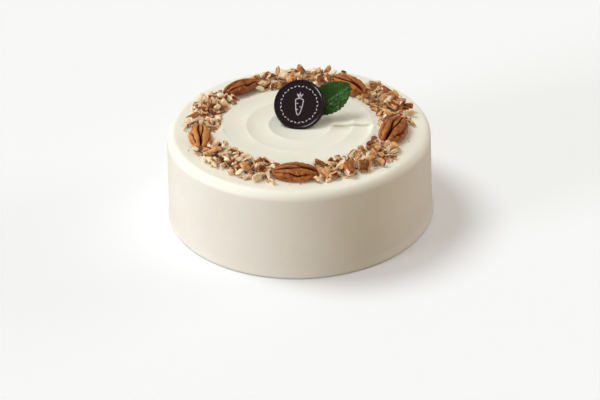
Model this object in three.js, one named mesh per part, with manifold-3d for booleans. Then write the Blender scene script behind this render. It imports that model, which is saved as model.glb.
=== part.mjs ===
// A whole round carrot cake under smooth ivory icing. On top are a palette-knife swirl, a garland of chopped
// pecans between five pecan halves, and a dark chocolate disc that leans on a dab of icing, with a leaf.
// Millimetres, +Z up. The origin is the centre of the cake's flat underside, and -Y is the front.

import * as THREE from "three";
import { mergeVertices } from "three/addons/utils/BufferGeometryUtils.js";
import Module from "manifold-3d";

const wasm = await Module();
wasm.setup();

// Driving dimensions

const AIR = 0.3; // left between pieces that touch
const CAKE = { topRadius: 90, baseRadius: 92.4, height: 63, edgeRadius: 6.5 };
const SWIRL = { crests: [21.5, 36.2, 51.2], height: 1.3, steepWidth: 3.2, fadeWidth: 7, step: 1.3 };
const DAB = { x: 1.6, y: 15.5, radius: 8, height: 9 };
const GARLAND = { radius: 66, halfWidth: 12, tallest: 9 };
const CORE = { width: 15, height: 1.4, bevel: 2, clear: 11.5 }; // clear: degrees from a half's middle
const DISC = { radius: 17.5, thickness: 4, bevel: 0.6, sunk: 0.1, lean: 40, turn: 12, x: 0.6, y: 5.7 };
const LEAF = { length: 33, halfWidth: 10.8, thickness: 0.6, fold: 0.14, droop: 1.5 };
const STALK = { behind: 2.8, side: 7.4, up: -3.9, angle: 42 }; // from the middle of the disc's back
const TEETH = { count: 11, depth: 0.9 };
const PECAN = { length: 30.5, width: 16.5, height: 8.6 };
const NOTCH = 0.13; // depth of the notch in a half's end, against its half length

// Where each half lies in the garland: its azimuth, its turn from the tangent and its roll, all in degrees,
// its distance from the centre, its size against the usual one, and how far the pieces under it lift it.
// A turn near 180 puts the notched end the other way round.
const HALVES = [
  { azimuth: -93, turn: -2, roll: 12, distance: 67.5, size: 1, lift: 0 },
  { azimuth: -14.5, turn: 170, roll: -12, distance: 65.7, size: 1.12, lift: 0.6 },
  { azimuth: 55, turn: 168, roll: 12, distance: 61.5, size: 1.04, lift: 0.7 },
  { azimuth: 127.5, turn: -2, roll: 10, distance: 65, size: 0.97, lift: 0.4 },
  { azimuth: 194.4, turn: -10.5, roll: -8, distance: 68.2, size: 0.98, lift: 0.4 },
];
const LUMPS_PER_HEAP = 24;
const LUMP_SIZE = { least: 6.2, most: 12.5 };

// Lumps that stand out from the rest: their heap, place, size and how they are turned, in degrees.
const LARGE_LUMPS = [
  { heap: 0, azimuth: -28, distance: 56, size: 9.5, turn: 20, pitch: 10, roll: 0 },
  { heap: 1, azimuth: 35, distance: 75, size: 12, turn: 10, pitch: -15, roll: 0 },
  { heap: 2, azimuth: 81.5, distance: 71, size: 10, turn: 0, pitch: 68, roll: 0 },
  { heap: 2, azimuth: 88, distance: 73, size: 10.5, turn: 30, pitch: -60, roll: 20 },
  { heap: 2, azimuth: 95.5, distance: 75, size: 14, turn: 4, pitch: 0, roll: 10 },
  { heap: 2, azimuth: 106.5, distance: 74, size: 13, turn: 20, pitch: 8, roll: -10 },
  { heap: 4, azimuth: 206.4, distance: 61, size: 12, turn: -10, pitch: 5, roll: 12 },
];

// Small tools

const radians = THREE.MathUtils.degToRad;
const { lerp, smoothstep } = THREE.MathUtils;

// Repeatable numbers from 0 to 1: a linear congruential sequence.
function sequence(seed) {
  let state = seed;
  return () => {
    state = (Math.imul(state, 1664525) + 1013904223) >>> 0;
    return state / 4294967296;
  };
}

// A geometry of positions alone, with shared corners merged, so that it is closed.
function closed(geometry) {
  geometry.deleteAttribute("normal");
  geometry.deleteAttribute("uv");
  return mergeVertices(geometry, 1e-4);
}

// Moves every corner of a geometry to where place(corner) puts it.
function shaped(geometry, place) {
  const merged = closed(geometry);
  const position = merged.getAttribute("position");
  const corner = new THREE.Vector3();
  for (let i = 0; i < position.count; i++) {
    place(corner.fromBufferAttribute(position, i));
    position.setXYZ(i, corner.x, corner.y, corner.z);
  }
  return closed(merged);
}

function solid(geometry) {
  const merged = closed(geometry);
  return new wasm.Manifold(
    new wasm.Mesh({
      numProp: 3,
      vertProperties: merged.getAttribute("position").array,
      triVerts: new Uint32Array(merged.index.array),
    }),
  );
}

function geometryOf(body) {
  const { numProp, vertProperties, triVerts } = body.getMesh();
  const corners = new Float32Array((vertProperties.length / numProp) * 3);
  for (let i = 0; i < corners.length / 3; i++)
    corners.set(vertProperties.subarray(i * numProp, i * numProp + 3), 3 * i);
  return new THREE.BufferGeometry()
    .setAttribute("position", new THREE.BufferAttribute(corners, 3))
    .setIndex(new THREE.BufferAttribute(triVerts, 1));
}

const part = new THREE.Group();

function addMesh(name, geometry, material) {
  const body = closed(geometry);
  body.computeVertexNormals();
  const mesh = new THREE.Mesh(body, material);
  mesh.name = name;
  part.add(mesh);
}

const finish = {
  icing: new THREE.MeshStandardMaterial({ color: 0xf0ede0, roughness: 0.55, metalness: 0 }),
  pecan: new THREE.MeshStandardMaterial({ color: 0x9a5a2c, roughness: 0.5, metalness: 0 }),
  chopped: new THREE.MeshStandardMaterial({ color: 0xc08a55, roughness: 0.65, metalness: 0 }),
  chocolate: new THREE.MeshStandardMaterial({ color: 0x21130f, roughness: 0.3, metalness: 0 }),
  leaf: new THREE.MeshStandardMaterial({ color: 0x245c22, roughness: 0.45, metalness: 0 }),
};

// The disc's own frame: its face's centre, its normal, and its upward and sideways directions.

const discFrame = (() => {
  const lean = radians(DISC.lean);
  const turn = radians(DISC.turn);
  const normal = new THREE.Vector3(
    -Math.sin(turn) * Math.cos(lean),
    -Math.cos(turn) * Math.cos(lean),
    Math.sin(lean),
  );
  const side = new THREE.Vector3(Math.cos(turn), -Math.sin(turn), 0);
  const up = new THREE.Vector3().crossVectors(normal, side);
  const centre = new THREE.Vector3(DISC.x, DISC.y, CAKE.height + DISC.radius * up.z - DISC.sunk);
  return { centre, side, up, normal };
})();

// A disc is a turned profile with bevelled rims. Its face is in its own XY plane and its back is behind that.
function discGeometry(grow) {
  const radius = DISC.radius + grow;
  const back = -DISC.thickness - grow;
  const outline = [
    [0, back],
    [radius - DISC.bevel, back],
    [radius, back + DISC.bevel],
    [radius, grow - DISC.bevel],
    [radius - DISC.bevel, grow],
    [0, grow],
  ].map(([x, y]) => new THREE.Vector2(x, y));
  const { centre, side, up, normal } = discFrame;
  const turned = new THREE.LatheGeometry(outline, 48).rotateX(Math.PI / 2);
  return turned.applyMatrix4(new THREE.Matrix4().makeBasis(side, up, normal).setPosition(centre));
}

// The icing: a turned outline whose top is raised into rings by the palette knife.

// Height of the knife's rings above the flat top. Going out, it rises steeply to each crest and falls slowly
// to the foot of the next. It is flat inside the first and again past the last.
function ringHeight(r) {
  const { crests, height, steepWidth, fadeWidth } = SWIRL;
  const inner = crests.findLast((c) => c <= r);
  const outer = crests.find((c) => c > r);
  if (outer === undefined) return height * (1 - smoothstep(r, inner, inner + fadeWidth));
  const foot = outer - steepWidth;
  if (r > foot) return height * smoothstep(r, foot, outer);
  return inner === undefined ? 0 : height * (1 - smoothstep(r, inner, foot));
}

// The line where the knife was lifted, at azimuth 0: the far side of it is higher than the near side.
function stepHeight(r, azimuth) {
  const { crests, step } = SWIRL;
  const within = smoothstep(r, crests[0], crests[0] + 3) * (1 - smoothstep(r, crests[2], crests[2] + 8));
  const away = 1 - smoothstep(Math.abs(azimuth), 0, radians(55));
  return 0.5 * step * within * away * Math.sign(azimuth);
}

// The dab of icing behind the disc.
function dabHeight(x, y) {
  const away = Math.hypot(x - DAB.x, y - DAB.y) / DAB.radius;
  return DAB.height * (1 - smoothstep(away, 0, 1.25));
}

function icingOutline() {
  const { topRadius, baseRadius, height, edgeRadius } = CAKE;
  const points = [new THREE.Vector2(0, 0), new THREE.Vector2(baseRadius, 0)];
  for (let i = 0; i <= 4; i++) {
    const a = (i / 4) * (Math.PI / 2);
    points.push(
      new THREE.Vector2(
        topRadius - edgeRadius * (1 - Math.cos(a)),
        height - edgeRadius * (1 - Math.sin(a)),
      ),
    );
  }
  const aroundCrest = [5.6, 2, 0, -1.4, -SWIRL.steepWidth];
  const rings = SWIRL.crests.toReversed().flatMap((crest) => aroundCrest.map((out) => crest + out));
  for (const r of [62, ...rings, 12, 6, 0]) points.push(new THREE.Vector2(r, height));
  return points;
}

function icingGeometry() {
  const columns = 72;
  const bunching = 0.5; // draws the columns together at azimuth 0, where the knife's line is
  const turned = new THREE.LatheGeometry(icingOutline(), columns).rotateX(Math.PI / 2);
  return shaped(turned, (corner) => {
    const r = Math.hypot(corner.x, corner.y);
    const even = Math.atan2(corner.y, corner.x);
    const azimuth = Math.abs(even) < 1e-6 ? 0 : even - bunching * Math.sin(even);
    corner.x = r * Math.cos(azimuth);
    corner.y = r * Math.sin(azimuth);
    if (corner.z < CAKE.height - 1e-3 || r > GARLAND.radius) return;
    corner.z += ringHeight(r) + stepHeight(r, azimuth) + dabHeight(corner.x, corner.y);
  });
}

const uncutIcing = solid(icingGeometry());
const icing = uncutIcing.subtract(solid(discGeometry(AIR)));
addMesh("frosted_cake", geometryOf(icing), finish.icing);
addMesh("chocolate_disc", discGeometry(0), finish.chocolate);

// A pecan half. Its cross-section is round above and flat below. Two grooves run along its back with a narrow
// tongue between them. Towards +X they draw together into one valley, which ends in a notch between the two
// lobes. A shallow crease runs along each lobe.
function pecanPoint(along, around) {
  const across = Math.abs(along) < 1 ? Math.cos(around) : 0;
  const taper = Math.pow(Math.max(1 - along * along, 0), 0.48 - 0.08 * along);
  const blunt = 1 + 0.1 * along - 0.12 * along * along;
  const notch = NOTCH * Math.exp(-((across / 0.35) ** 2)) * smoothstep(along, 0.35, 1);
  const fromTop = around - Math.PI / 2;
  const dip = (at, width, depth) => depth * Math.exp(-(((fromTop - at) / width) ** 2));
  const apart = 0.27 * (1 - smoothstep(along, -0.1, 0.75));
  const width = 0.11 + 0.12 * smoothstep(along, 0.3, 0.9);
  const creases = dip(-0.95, 0.16, 0.12) + dip(0.95, 0.16, 0.12);
  const grooves = dip(-apart, width, 0.3) + dip(apart, width, 0.3) + creases;
  const skin = 1 - grooves * Math.min(1, 3 * (1 + along));
  const above = Math.sin(around) > 0;
  return new THREE.Vector3(
    ((along * PECAN.length) / 2) * (1 - notch),
    0.5 * PECAN.width * taper * blunt * across * (above ? skin : 1),
    (above ? PECAN.height * 0.78 * skin : PECAN.height * 0.22) * taper * Math.sin(around),
  );
}

function pecanGeometry() {
  const columns = 22;
  const rows = 12;
  return shaped(new THREE.SphereGeometry(1, columns, rows).rotateZ(-Math.PI / 2), (corner) => {
    const along = THREE.MathUtils.clamp(corner.x, -1, 1);
    const atPole = 1 - Math.abs(along) < 1e-6;
    const even = atPole ? 0 : Math.atan2(corner.z, corner.y);
    const around = even + 0.28 * Math.sin(2 * even); // draws the columns together over the grooves
    corner.copy(pecanPoint(along, around));
  });
}

// The turn from a half's own frame into the cake's.
function halfMatrix(half) {
  const azimuth = radians(half.azimuth);
  const matrix = new THREE.Matrix4().makeRotationZ(azimuth + Math.PI / 2 + radians(half.turn));
  matrix.multiply(new THREE.Matrix4().makeRotationX(radians(half.roll)));
  matrix.multiply(new THREE.Matrix4().makeScale(half.size, half.size, half.size));
  return matrix.setPosition(half.distance * Math.cos(azimuth), half.distance * Math.sin(azimuth), 0);
}

// A half in its place, its lowest point just clear of the icing, and swollen about its own middle if asked.
function placedHalf(half, swell = 1) {
  const geometry = pecanGeometry().applyMatrix4(halfMatrix(half));
  geometry.computeBoundingBox();
  geometry.translate(0, 0, CAKE.height + AIR + half.lift - geometry.boundingBox.min.z);
  geometry.computeBoundingBox();
  const middle = geometry.boundingBox.getCenter(new THREE.Vector3());
  const away = middle.clone().negate();
  return geometry.translate(...away).scale(swell, swell, swell).translate(...middle);
}

HALVES.forEach((half, i) => addMesh(`pecan_half_${i + 1}`, placedHalf(half), finish.pecan));

// Chopped pecans: broken lumps heaped between the halves on a low core.

// A lump's turn and the places of its eight corners: a brick's, each drawn in by an amount of its own.
function makeLump(size, turn, pitch, roll, next) {
  const matrix = new THREE.Matrix4().makeRotationZ(turn);
  matrix.multiply(new THREE.Matrix4().makeRotationY(pitch));
  matrix.multiply(new THREE.Matrix4().makeRotationX(roll));
  const half = [0.5 * size, lerp(0.23, 0.39, next()) * size, lerp(0.19, 0.31, next()) * size];
  const corners = [];
  for (let k = 0; k < 8; k++) {
    const signs = [k & 1 ? 1 : -1, k & 2 ? 1 : -1, k & 4 ? 1 : -1];
    const place = signs.map((sign, i) => sign * half[i] * (1 - 0.5 * next()));
    corners.push(new THREE.Vector3(...place).applyMatrix4(matrix));
  }
  const heights = corners.map((c) => c.z);
  return { size, corners, up: Math.max(...heights), down: -Math.min(...heights) };
}

function lumpGeometry({ corners, x, y, z }) {
  return shaped(new THREE.BoxGeometry(2, 2, 2), (corner) => {
    const k = (corner.x > 0 ? 1 : 0) + (corner.y > 0 ? 2 : 0) + (corner.z > 0 ? 4 : 0);
    corner.copy(corners[k]).add(new THREE.Vector3(x, y, CAKE.height + z));
  });
}

// Whether a lump at x, y would run into a pecan half.
function meetsHalf(x, y, reach) {
  return HALVES.some((half) => {
    const local = new THREE.Vector3(x, y, 0).applyMatrix4(halfMatrix(half).invert());
    const along = local.x / (PECAN.length / 2 + reach);
    const across = local.y / (PECAN.width / 2 + reach);
    return along * along + across * across < 1;
  });
}

// The low core of a heap is a band of the garland with round ends and a rounded top.
function coreGeometry(from, to) {
  const { radius } = GARLAND;
  const w = CORE.width / 2 - CORE.bevel;
  const first = from + w / radius;
  const last = to - w / radius;
  const band = new THREE.Shape();
  band.absarc(0, 0, radius + w, first, last, false);
  band.absarc(radius * Math.cos(last), radius * Math.sin(last), w, last, last + Math.PI, false);
  band.absarc(0, 0, radius - w, last, first, true);
  const around = first + Math.PI;
  band.absarc(radius * Math.cos(first), radius * Math.sin(first), w, around, around + Math.PI, false);
  const extruded = new THREE.ExtrudeGeometry(band, {
    depth: CORE.height,
    curveSegments: 7,
    bevelSize: CORE.bevel,
    bevelThickness: CORE.bevel,
    bevelSegments: 2,
  });
  return extruded.translate(0, 0, CAKE.height - CORE.bevel);
}

// How high a lump's middle stays when it is let down at x, y onto the icing and the lumps already there.
function restingHeight(lump, x, y, lumps) {
  let z = lump.down - AIR;
  for (const other of lumps) {
    const meeting = 0.3 * (lump.size + other.size);
    const apart = Math.hypot(x - other.x, y - other.y) / meeting;
    if (apart < 1) z = Math.max(z, other.z + 0.8 * (lump.down + other.up) * Math.sqrt(1 - apart * apart));
  }
  return z;
}

function dropLumps(heap, from, to) {
  const next = sequence(100 + heap);
  const lumps = [];
  for (const large of LARGE_LUMPS.filter((each) => each.heap === heap)) {
    const azimuth = radians(large.azimuth);
    const turn = azimuth + Math.PI / 2 + radians(large.turn);
    const lump = makeLump(large.size, turn, radians(large.pitch), radians(large.roll), next);
    const x = large.distance * Math.cos(azimuth);
    const y = large.distance * Math.sin(azimuth);
    lumps.push({ ...lump, x, y, z: lump.down - AIR });
  }
  for (let i = 0; i < LUMPS_PER_HEAP; i++) {
    const size = lerp(LUMP_SIZE.least, LUMP_SIZE.most, next() ** 1.6);
    const lump = makeLump(size, 2 * Math.PI * next(), 1.4 * (next() - 0.5), 1.4 * (next() - 0.5), next);
    let best = null;
    for (let k = 0; k < 4; k++) {
      const azimuth = lerp(from, to, next());
      const distance = GARLAND.radius + (next() + next() - 1) * GARLAND.halfWidth;
      const x = distance * Math.cos(azimuth);
      const y = distance * Math.sin(azimuth);
      const z = restingHeight(lump, x, y, lumps);
      if (!meetsHalf(x, y, 0.25 * size) && (best === null || z < best.z)) best = { ...lump, x, y, z };
    }
    if (best !== null && best.z + best.up < GARLAND.tallest) lumps.push(best);
  }
  return lumps;
}

// A heap between two azimuths, cut clear of the icing and the halves. Lumps that touch nothing are left out.
function heapGeometry(index, from, to) {
  let heap = solid(coreGeometry(from, to));
  for (const lump of dropLumps(index, from, to)) heap = heap.add(solid(lumpGeometry(lump)));
  heap = heap.subtract(uncutIcing.translate([0, 0, AIR]));
  for (const half of HALVES) heap = heap.subtract(solid(placedHalf(half, 1 + AIR / 4)));
  const bodies = heap.decompose().sort((a, b) => b.volume() - a.volume());
  return geometryOf(bodies[0]);
}

HALVES.forEach((half, i) => {
  const following = HALVES[(i + 1) % HALVES.length];
  const end = following.azimuth + (following.azimuth < half.azimuth ? 360 : 0);
  const geometry = heapGeometry(i, radians(half.azimuth + CORE.clear), radians(end - CORE.clear));
  addMesh(`chopped_pecans_${i + 1}`, geometry, finish.chopped);
});

// The leaf: a thin blade with saw teeth, folded along its midrib and drooping to its tip.

// A point of the leaf's middle surface: along goes from 0 at the stalk to 1 at the tip, across from -1 to 1.
function leafPoint(along, across) {
  const { length, halfWidth, fold, droop } = LEAF;
  const body = Math.max(Math.sin(Math.PI * along), 0) ** 0.62;
  const tooth = 2 * TEETH.depth * Math.abs(((along * TEETH.count) % 1) - 0.5) * Math.min(1, 4 * body);
  const half = 0.5 + halfWidth * body - tooth * Math.abs(across) ** 6;
  const y = across * Math.max(half, 0.4);
  const veins = 0.25 * Math.cos(2 * Math.PI * (along * 7 - Math.abs(across) * 1.4)) * Math.abs(across) * body;
  return new THREE.Vector3(along * length, y, Math.abs(y) * fold - droop * along * along + veins);
}

// A sheet of even thickness, from a grid of points of its middle surface.
function thickSheet(rows, columns, point, thickness) {
  const corners = [];
  for (const side of [0.5, -0.5])
    for (let i = 0; i <= rows; i++)
      for (let j = 0; j <= columns; j++) {
        const p = point(i / rows, (2 * j) / columns - 1);
        corners.push(p.x, p.y, p.z + side * thickness);
      }
  const at = (side, i, j) => side * (rows + 1) * (columns + 1) + i * (columns + 1) + j;
  const faces = [];
  const quad = (a, b, c, d) => faces.push(a, b, c, a, c, d);
  for (let i = 0; i < rows; i++)
    for (let j = 0; j < columns; j++) {
      quad(at(0, i, j), at(0, i + 1, j), at(0, i + 1, j + 1), at(0, i, j + 1));
      faces.push(at(1, i, j), at(1, i + 1, j + 1), at(1, i + 1, j));
      faces.push(at(1, i, j), at(1, i, j + 1), at(1, i + 1, j + 1));
    }
  for (let i = 0; i < rows; i++) {
    quad(at(0, i, 0), at(1, i, 0), at(1, i + 1, 0), at(0, i + 1, 0));
    quad(at(0, i, columns), at(0, i + 1, columns), at(1, i + 1, columns), at(1, i, columns));
  }
  for (let j = 0; j < columns; j++) {
    quad(at(0, 0, j), at(0, 0, j + 1), at(1, 0, j + 1), at(1, 0, j));
    quad(at(0, rows, j), at(1, rows, j), at(1, rows, j + 1), at(0, rows, j + 1));
  }
  return new THREE.BufferGeometry()
    .setAttribute("position", new THREE.BufferAttribute(new Float32Array(corners), 3))
    .setIndex(faces);
}

// The leaf lies against the disc's back, with its stalk behind the disc and its tip up to the right.
function leafMatrix() {
  const { centre, side, up, normal } = discFrame;
  const angle = radians(STALK.angle);
  const along = side.clone().multiplyScalar(Math.cos(angle)).addScaledVector(up, Math.sin(angle));
  const across = new THREE.Vector3().crossVectors(normal, along);
  const stalk = centre
    .clone()
    .addScaledVector(normal, -DISC.thickness - STALK.behind)
    .addScaledVector(side, STALK.side)
    .addScaledVector(up, STALK.up);
  return new THREE.Matrix4().makeBasis(along, across, normal).setPosition(stalk);
}

const leaf = thickSheet(2 * TEETH.count, 6, leafPoint, LEAF.thickness).applyMatrix4(leafMatrix());
addMesh("leaf", leaf, finish.leaf);

export default part;
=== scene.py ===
# %% [markdown]
# # A carrot cake with a garland of pecans
#
# This lesson dresses a plain model of a round iced cake until it looks good enough to eat. The plain model
# holds the true sizes. Each piece here is made again as a fine surface in the same place, and gets a finish
# of its own. Lengths are in millimetres while a shape is worked out, and are turned into metres when its mesh
# is made.

# %% Load the plain model
import bpy
import numpy as np
from mathutils import Matrix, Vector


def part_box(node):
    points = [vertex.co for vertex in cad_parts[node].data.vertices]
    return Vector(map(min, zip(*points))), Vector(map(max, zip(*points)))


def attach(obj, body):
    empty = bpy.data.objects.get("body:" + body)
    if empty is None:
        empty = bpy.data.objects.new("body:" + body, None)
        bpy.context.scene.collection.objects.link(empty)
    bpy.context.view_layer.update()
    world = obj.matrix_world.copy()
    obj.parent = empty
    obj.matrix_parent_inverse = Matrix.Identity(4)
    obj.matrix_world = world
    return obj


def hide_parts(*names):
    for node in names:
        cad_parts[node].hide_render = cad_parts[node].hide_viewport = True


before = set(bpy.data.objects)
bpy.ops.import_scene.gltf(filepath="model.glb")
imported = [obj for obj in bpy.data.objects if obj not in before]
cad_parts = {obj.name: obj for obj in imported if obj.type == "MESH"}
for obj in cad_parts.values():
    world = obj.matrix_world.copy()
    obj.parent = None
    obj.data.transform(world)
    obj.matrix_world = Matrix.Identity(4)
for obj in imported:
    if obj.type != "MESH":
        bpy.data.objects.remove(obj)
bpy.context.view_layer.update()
MM = 0.001

# %% [markdown]
# ## Camera
#
# A camera is a place, a direction and a lens. The picture looks down on the cake at about 30 degrees from
# just over a metre away, through a long lens, so the sides hardly lean. The horizon tips by a degree and a
# half, as it does in a picture taken by hand. The lens is worked out from the picture's width in pixels and a
# focal length in the same pixels, which is how a camera is measured from a photograph.

# %% Camera
ELEVATION = np.radians(30.43)
DISTANCE = 1080.0
AIM = np.array([-0.46, 0.0, 3.67])
ROLL = np.radians(-1.51)
FOCAL_PIXELS = 1565.0
PICTURE_WIDTH = 600
MIDDLE_HEIGHT = 30.0


def standing(axes, place):
    """The matrix of an object whose own X, Y and Z point along three axes, at a place in metres."""
    return Matrix([[*row, value] for row, value in zip(np.array(axes).T, place)] + [[0, 0, 0, 1]])


place = np.array([0, -DISTANCE * np.cos(ELEVATION), DISTANCE * np.sin(ELEVATION) + MIDDLE_HEIGHT])
forward = (AIM - place) / np.linalg.norm(AIM - place)
level_right = np.cross(forward, [0, 0, 1])
level_right /= np.linalg.norm(level_right)
level_up = np.cross(level_right, forward)
right = np.cos(ROLL) * level_right + np.sin(ROLL) * level_up
up = -np.sin(ROLL) * level_right + np.cos(ROLL) * level_up

camera = bpy.data.objects.new("camera", bpy.data.cameras.new("camera"))
bpy.context.collection.objects.link(camera)
camera.matrix_world = standing([right, up, -forward], place * MM)
camera.data.lens = FOCAL_PIXELS / PICTURE_WIDTH * camera.data.sensor_width
camera.data.clip_start = 0.05
bpy.context.scene.camera = camera
print("lens", round(camera.data.lens, 1), "mm")

# %% [markdown]
# ## Helpers for meshes
#
# Every piece is a grid of points, worked out for the whole grid at once. A grid that goes round an axis
# closes on itself, and its first and last rows close to a point. `foreach_set` hands the arrays to Blender in
# one go, which is many times faster than adding points one by one.

# %% Mesh from arrays
def make_mesh(name, points, quads, triangles=()):
    """An object at the origin, from points in millimetres and faces as rows of point numbers."""
    triangles = np.array(triangles, int).reshape(-1, 3)
    corners = np.concatenate([quads.ravel(), triangles.ravel()])
    sizes = np.concatenate([np.full(len(quads), 4), np.full(len(triangles), 3)])
    mesh = bpy.data.meshes.new(name)
    mesh.vertices.add(len(points))
    mesh.vertices.foreach_set("co", (np.asarray(points) * MM).ravel())
    mesh.loops.add(len(corners))
    mesh.loops.foreach_set("vertex_index", corners)
    mesh.polygons.add(len(sizes))
    mesh.polygons.foreach_set("loop_start", np.cumsum(sizes) - sizes)
    mesh.update(calc_edges=True)
    mesh.validate()
    mesh.polygons.foreach_set("use_smooth", np.ones(len(sizes), bool))
    piece = bpy.data.objects.new(name, mesh)
    bpy.context.collection.objects.link(piece)
    return piece


def grid_quads(rows, columns, wrap):
    """Faces of a grid of points. Point (i, j) is number i * columns + j, and wrap joins the last column to
    the first."""
    i, j = np.meshgrid(np.arange(rows - 1), np.arange(columns if wrap else columns - 1), indexing="ij")
    after = (j + 1) % columns
    return np.stack([i * columns + j, i * columns + after, (i + 1) * columns + after, (i + 1) * columns + j],
                    axis=-1).reshape(-1, 4)


def closed_grid(name, points):
    """A closed skin: rows of points that go round, with the first and last row each closed by a fan to its
    middle. Seen from the first row's end the points go round clockwise, so that the faces point outwards."""
    rows, columns = points.shape[:2]
    ends = np.stack([points[0].mean(0), points[-1].mean(0)])
    everything = np.concatenate([points.reshape(-1, 3), ends])
    j = np.arange(columns)
    after = (j + 1) % columns
    below = (rows - 1) * columns
    first, last = np.full(columns, rows * columns), np.full(columns, rows * columns + 1)
    fans = np.concatenate([np.stack([first, after, j], axis=-1),
                           np.stack([last, below + j, below + after], axis=-1)])
    return make_mesh(name, everything, grid_quads(rows, columns, wrap=True), fans)


def set_attribute(piece, name, values):
    """Stores one number for each point of a piece, for its material to read."""
    layer = piece.data.attributes.new(name, "FLOAT", "POINT")
    layer.data.foreach_set("value", np.ascontiguousarray(values, dtype=np.float32).ravel())


def smooth(value, low, high):
    """0 below low, 1 above high, and the smooth curve 3t^2 - 2t^3 between them."""
    t = np.clip((value - low) / (high - low), 0, 1)
    return t * t * (3 - 2 * t)


def ripples(seed, count, shortest, longest):
    """A smooth uneven field: the sum of count sine waves in random directions, each with a wavelength between
    shortest and longest millimetres, over the root of count. The result is a function of points."""
    rng = np.random.default_rng(seed)
    directions = rng.normal(size=(count, 3))
    directions /= np.linalg.norm(directions, axis=1, keepdims=True)
    directions *= (2 * np.pi / rng.uniform(shortest, longest, count))[:, None]
    phases = rng.uniform(0, 2 * np.pi, count)
    return lambda points: np.sin(points @ directions.T + phases).sum(-1) / np.sqrt(count)


# %% [markdown]
# ## Helpers for materials
#
# Two effects turn up on nearly every food here. The first is patchy colour: a cloud of noise that slides
# between two colours. The second is fine grain, which only tilts the light. Each is built once as a node
# group with named inputs, and every material places it with values of its own.

# %% Node groups
def new_group(name, inputs, outputs):
    """An empty shader node group. Each input has a number or a colour to start from, and each output a kind."""
    group = bpy.data.node_groups.new(name, "ShaderNodeTree")
    for label, value in inputs.items():
        kind = "NodeSocketColor" if isinstance(value, tuple) else "NodeSocketFloat"
        group.interface.new_socket(label, in_out="INPUT", socket_type=kind).default_value = value
    for label, kind in outputs.items():
        group.interface.new_socket(label, in_out="OUTPUT", socket_type=kind)
    return group, group.nodes.new("NodeGroupInput"), group.nodes.new("NodeGroupOutput")


def patchy_group():
    """Colour = Light where the noise is low and Dark where it is high, with patches of the given size."""
    white = (1, 1, 1, 1)
    group, given, out = new_group("patchy colour", {"Light": white, "Dark": white, "Patches per metre": 100.0},
                                  {"Color": "NodeSocketColor"})
    nodes, links = group.nodes, group.links
    where = nodes.new("ShaderNodeTexCoord")
    noise = nodes.new("ShaderNodeTexNoise")
    noise.inputs["Detail"].default_value = 4.0
    spread = nodes.new("ShaderNodeMapRange")
    spread.inputs["From Min"].default_value = 0.32
    spread.inputs["From Max"].default_value = 0.68
    mix = nodes.new("ShaderNodeMix")
    mix.data_type = "RGBA"
    links.new(where.outputs["Object"], noise.inputs["Vector"])
    links.new(given.outputs["Patches per metre"], noise.inputs["Scale"])
    links.new(noise.outputs["Fac"], spread.inputs["Value"])
    links.new(spread.outputs["Result"], mix.inputs["Factor"])
    links.new(given.outputs["Light"], mix.inputs["A"])
    links.new(given.outputs["Dark"], mix.inputs["B"])
    links.new(mix.outputs["Result"], out.inputs["Color"])
    return group


def grain_group():
    """A normal tilted by fine noise, as deep as Depth, in metres."""
    group, given, out = new_group("fine grain", {"Grains per metre": 1500.0, "Depth": 0.0001, "Detail": 3.0},
                                  {"Normal": "NodeSocketVector", "Height": "NodeSocketFloat"})
    nodes, links = group.nodes, group.links
    where = nodes.new("ShaderNodeTexCoord")
    noise = nodes.new("ShaderNodeTexNoise")
    bump = nodes.new("ShaderNodeBump")
    bump.inputs["Strength"].default_value = 1.0
    links.new(where.outputs["Object"], noise.inputs["Vector"])
    links.new(given.outputs["Grains per metre"], noise.inputs["Scale"])
    links.new(given.outputs["Detail"], noise.inputs["Detail"])
    links.new(noise.outputs["Fac"], bump.inputs["Height"])
    links.new(given.outputs["Depth"], bump.inputs["Distance"])
    links.new(bump.outputs["Normal"], out.inputs["Normal"])
    links.new(noise.outputs["Fac"], out.inputs["Height"])
    return group


PATCHY = patchy_group()
GRAIN = grain_group()
print("node groups:", PATCHY.name, "and", GRAIN.name)


# %% Start of a material
def srgb(red, green, blue):
    """A colour as a painter names it, 0 to 255, turned into the linear light that shaders work in."""
    value = np.array([red, green, blue]) / 255
    linear = np.where(value <= 0.04045, value / 12.92, ((value + 0.055) / 1.055) ** 2.4)
    return (*linear.tolist(), 1.0)


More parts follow.
